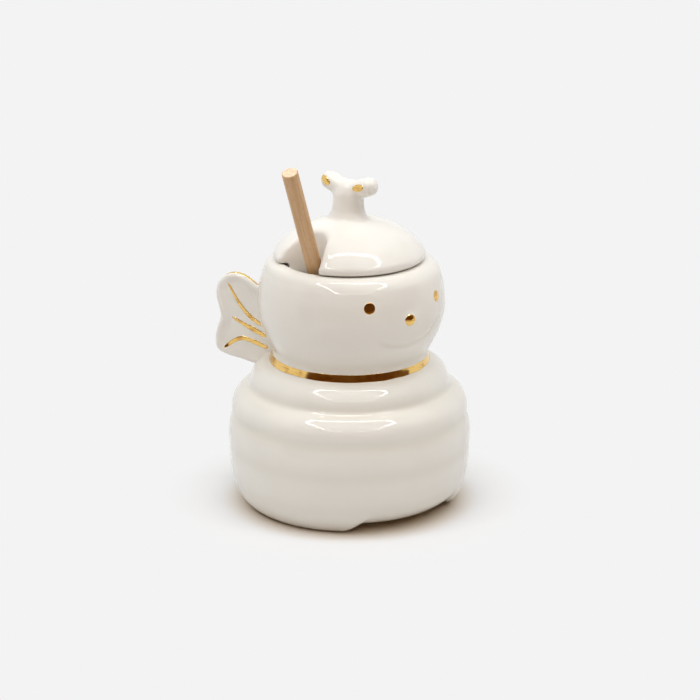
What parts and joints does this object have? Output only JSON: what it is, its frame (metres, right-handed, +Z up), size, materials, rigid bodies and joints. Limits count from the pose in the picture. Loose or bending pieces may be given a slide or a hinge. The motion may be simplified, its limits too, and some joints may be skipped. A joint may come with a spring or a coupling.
{
  "type": "honey pot",
  "caption": "Bee-shaped ceramic honey pot with wings, a lift-off lid notched for its dipper, an antenna knob, gold details and a wooden honey dipper.",
  "frame": {"origin": "centre of the pot's base, on the surface it stands on", "axes": "+Z up along the pot's axis, -Y is the way the bee's face looks, +X is the bee's left"},
  "size_m": [0.0975, 0.0976, 0.1462],
  "materials": {
    "cream_glaze": "gloss",
    "gold_lustre": "polished",
    "beech": "satin"
  },
  "bodies": {
    "pot": {"pot_foot": "cream_glaze", "pot_belly": "cream_glaze", "pot_head": "cream_glaze", "wing_right": "cream_glaze", "wing_left": "cream_glaze", "neck_band": "gold_lustre", "eye_right": "gold_lustre", "eye_left": "gold_lustre", "nose": "gold_lustre", "wing_veins_right": "gold_lustre", "wing_veins_left": "gold_lustre"},
    "lid": {"lid_front": "cream_glaze", "lid_back": "cream_glaze", "lid_flange": "cream_glaze", "antenna_knob": "cream_glaze", "antenna_spots": "gold_lustre"},
    "dipper": {"dipper_stick": "beech", "dipper_comb": "beech"}
  },
  "joints": [
    {"name": "lid_lift", "type": "slide", "parent": "pot", "child": "lid", "axis": [0, 0, 1], "range_m": [0, 0.1]},
    {"name": "dipper_lift", "type": "slide", "parent": "pot", "child": "dipper", "axis": [-0.3777, -0.1674, 0.9107], "range_m": [0, 0.045]}
  ]
}
